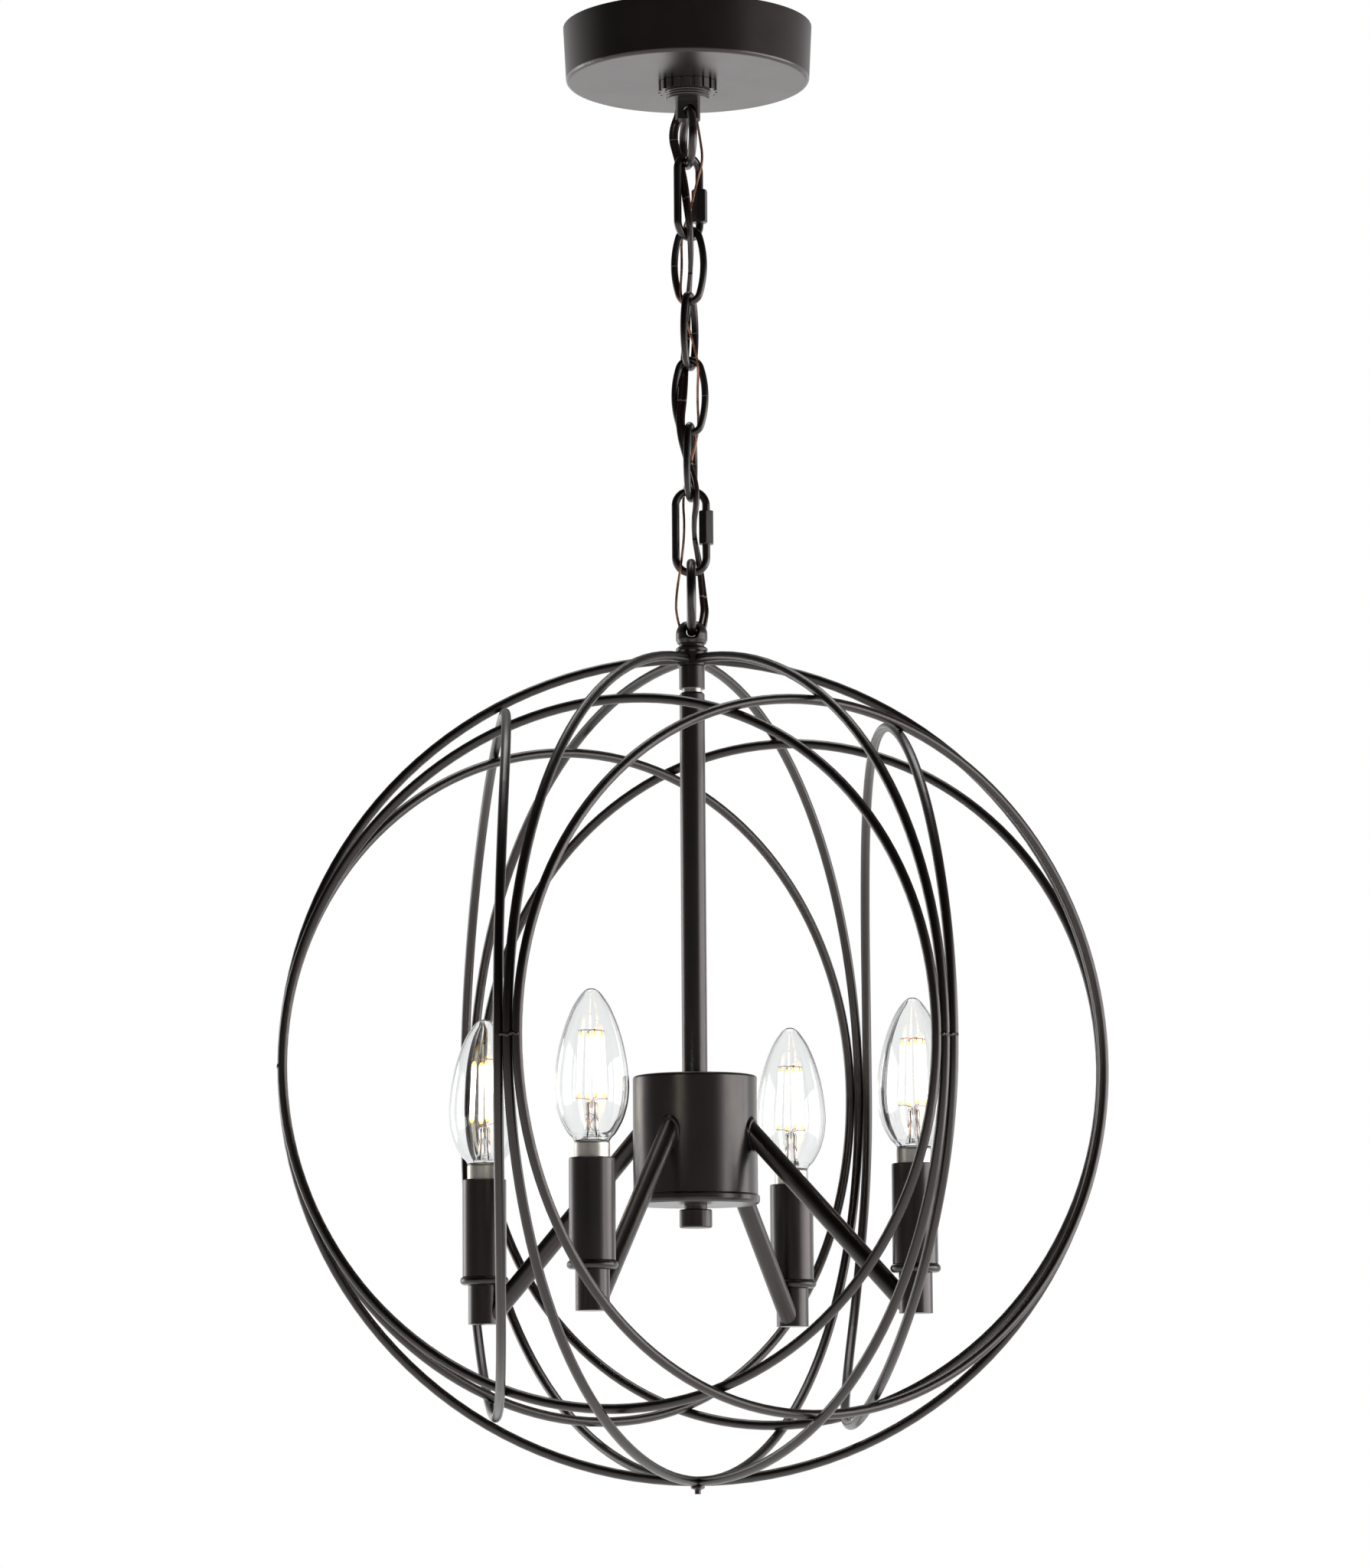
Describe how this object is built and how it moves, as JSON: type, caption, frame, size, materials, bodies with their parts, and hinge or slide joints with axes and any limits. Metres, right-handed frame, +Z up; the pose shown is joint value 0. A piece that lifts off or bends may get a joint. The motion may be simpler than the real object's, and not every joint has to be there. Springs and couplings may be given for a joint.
{
  "type": "orb chandelier",
  "caption": "Orb chandelier: a ceiling canopy and short chain carry a stem with a wire globe cage round a hub, curved-down arms and candle lamps.",
  "frame": {"origin": "centre of the ceiling strap's top face, where it meets the ceiling", "axes": "+Z up into the ceiling; +X to the right and +Y away from the viewer in the picture"},
  "size_m": [0.4282, 0.3924, 0.7669],
  "materials": {
    "bronze": "satin oil-rubbed bronze powder coat",
    "cage_bronze": "satin oil-rubbed bronze powder coat",
    "link_bronze": "satin oil-rubbed bronze plating",
    "sleeve_bronze": "satin oil-rubbed bronze powder coat",
    "zinc": "zinc plated",
    "ground_green": "green plated",
    "wire_nut": "moulded",
    "cord": "smooth, slightly clear",
    "copper": "bare stranded copper",
    "lead": "smooth",
    "holder": "moulded",
    "nickel": "satin nickel",
    "clear_glass": "clear"
  },
  "bodies": {
    "ceiling": {"ceiling_strap": "zinc", "strap_nut": "zinc", "ground_screw": "ground_green", "ceiling_pipe": "zinc", "canopy_loop": "bronze", "canopy_wire_nuts": "wire_nut", "lamp_cord": "cord", "ground_wire": "copper"},
    "collar_nut": {"collar_nut": "bronze"},
    "canopy": {"canopy_cover": "bronze"},
    "canopy_ring": {"canopy_ring": "link_bronze"},
    "quick_upper": {"quick_link_upper": "link_bronze"},
    "quick_upper_nut": {"quick_link_upper_nut": "link_bronze"},
    "link_1": {"chain_link_1": "link_bronze"},
    "link_2": {"chain_link_2": "link_bronze"},
    "link_3": {"chain_link_3": "link_bronze"},
    "link_4": {"chain_link_4": "link_bronze"},
    "quick_lower": {"quick_link_lower": "link_bronze"},
    "quick_lower_nut": {"quick_link_lower_nut": "link_bronze"},
    "hang_ring": {"hang_ring": "link_bronze"},
    "finial": {"finial": "bronze"},
    "bulb_1": {"bulb_base_1": "nickel", "bulb_glass_1": "clear_glass"},
    "bulb_2": {"bulb_base_2": "nickel", "bulb_glass_2": "clear_glass"},
    "bulb_3": {"bulb_base_3": "nickel", "bulb_glass_3": "clear_glass"},
    "bulb_4": {"bulb_base_4": "nickel", "bulb_glass_4": "clear_glass"},
    "fixture": {"loop_body": "bronze", "wire_collar": "bronze", "coupling": "bronze", "stem_pipe": "zinc", "stem_socket": "bronze", "stem_tube": "bronze", "hub_cup": "bronze", "hub_cover": "bronze", "hub_nut": "zinc", "hub_pipe": "zinc", "hub_wire_nuts": "wire_nut", "arm_1": "bronze", "arm_2": "bronze", "arm_3": "bronze", "arm_4": "bronze", "lamp_cups": "bronze", "candle_pans": "bronze", "lamp_pipes": "zinc", "lamp_holders": "holder", "candle_sleeves": "sleeve_bronze", "lamp_leads": "lead", "weld_beads": "cage_bronze", "great_ring_1": "cage_bronze", "great_ring_2": "cage_bronze", "great_ring_3": "cage_bronze", "side_ring_1": "cage_bronze", "side_ring_2": "cage_bronze", "side_ring_3": "cage_bronze", "side_ring_4": "cage_bronze", "side_ring_5": "cage_bronze", "side_ring_6": "cage_bronze"}
  },
  "joints": [
    {"name": "collar_nut_travel", "type": "slide", "parent": "ceiling", "child": "collar_nut", "axis": [0, 0, -1], "range_m": [0, 0.009]},
    {"name": "canopy_drop", "type": "slide", "parent": "ceiling", "child": "canopy", "axis": [0, 0, -1], "range_m": [0, 0.009]},
    {"name": "canopy_ring_swing", "type": "hinge", "parent": "ceiling", "child": "canopy_ring", "pos_m": [0, 0, -0.045], "axis": [-0.1736, 0.9848, 0], "range_deg": [-25, 25], "deforming": ["lamp_cord", "ground_wire"]},
    {"name": "quick_upper_swing", "type": "hinge", "parent": "canopy_ring", "child": "quick_upper", "pos_m": [0, 0, -0.0739], "axis": [0.6947, -0.7193, 0], "range_deg": [-15, 15], "deforming": ["lamp_cord", "ground_wire"]},
    {"name": "quick_upper_nut_travel", "type": "slide", "parent": "quick_upper", "child": "quick_upper_nut", "axis": [0, 0, 1], "range_m": [0, 0.007]},
    {"name": "link_1_swing", "type": "hinge", "parent": "quick_upper", "child": "link_1", "pos_m": [0, 0, -0.11275], "axis": [-0.2756, -0.9613, 0], "range_deg": [-15, 15], "deforming": ["lamp_cord", "ground_wire"]},
    {"name": "link_2_swing", "type": "hinge", "parent": "link_1", "child": "link_2", "pos_m": [0, 0, -0.14745], "axis": [0.9272, -0.3746, 0], "range_deg": [-25, 25], "deforming": ["lamp_cord", "ground_wire"]},
    {"name": "link_3_swing", "type": "hinge", "parent": "link_2", "child": "link_3", "pos_m": [0, 0, -0.18235], "axis": [-0.0872, -0.9962, 0], "range_deg": [-25, 25], "deforming": ["lamp_cord", "ground_wire"]},
    {"name": "link_4_swing", "type": "hinge", "parent": "link_3", "child": "link_4", "pos_m": [0, 0, -0.21725], "axis": [0.9703, -0.2419, 0], "range_deg": [-25, 25], "deforming": ["lamp_cord", "ground_wire"]},
    {"name": "quick_lower_swing", "type": "hinge", "parent": "link_4", "child": "quick_lower", "pos_m": [0, 0, -0.25215], "axis": [0, -1, 0], "range_deg": [-25, 25], "deforming": ["lamp_cord", "ground_wire"]},
    {"name": "quick_lower_nut_travel", "type": "slide", "parent": "quick_lower", "child": "quick_lower_nut", "axis": [0, 0, -1], "range_m": [0, 0.007]},
    {"name": "hang_ring_swing", "type": "hinge", "parent": "quick_lower", "child": "hang_ring", "pos_m": [0, 0, -0.29135], "axis": [1, 0, 0], "range_deg": [-25, 25], "deforming": ["lamp_cord", "ground_wire"]},
    {"name": "fixture_swing", "type": "hinge", "parent": "hang_ring", "child": "fixture", "pos_m": [0, 0, -0.32255], "axis": [0, 1, 0], "range_deg": [-25, 25], "deforming": ["lamp_cord", "ground_wire"]},
    {"name": "finial_turn", "type": "hinge", "parent": "fixture", "child": "finial", "pos_m": [0, 0, -0.625], "axis": [0, 0, 1], "continuous": true},
    {"name": "bulb_1_turn", "type": "hinge", "parent": "fixture", "child": "bulb_1", "pos_m": [0.11021, -0.05116, -0.6], "axis": [0, 0, 1], "continuous": true},
    {"name": "bulb_2_turn", "type": "hinge", "parent": "fixture", "child": "bulb_2", "pos_m": [0.05116, 0.11021, -0.6], "axis": [0, 0, 1], "continuous": true},
    {"name": "bulb_3_turn", "type": "hinge", "parent": "fixture", "child": "bulb_3", "pos_m": [-0.11021, 0.05116, -0.6], "axis": [0, 0, 1], "continuous": true},
    {"name": "bulb_4_turn", "type": "hinge", "parent": "fixture", "child": "bulb_4", "pos_m": [-0.05116, -0.11021, -0.6], "axis": [0, 0, 1], "continuous": true}
  ],
  "couplings": [
    {"joint": "canopy_drop", "follows": "collar_nut_travel", "ratio": 1}
  ]
}
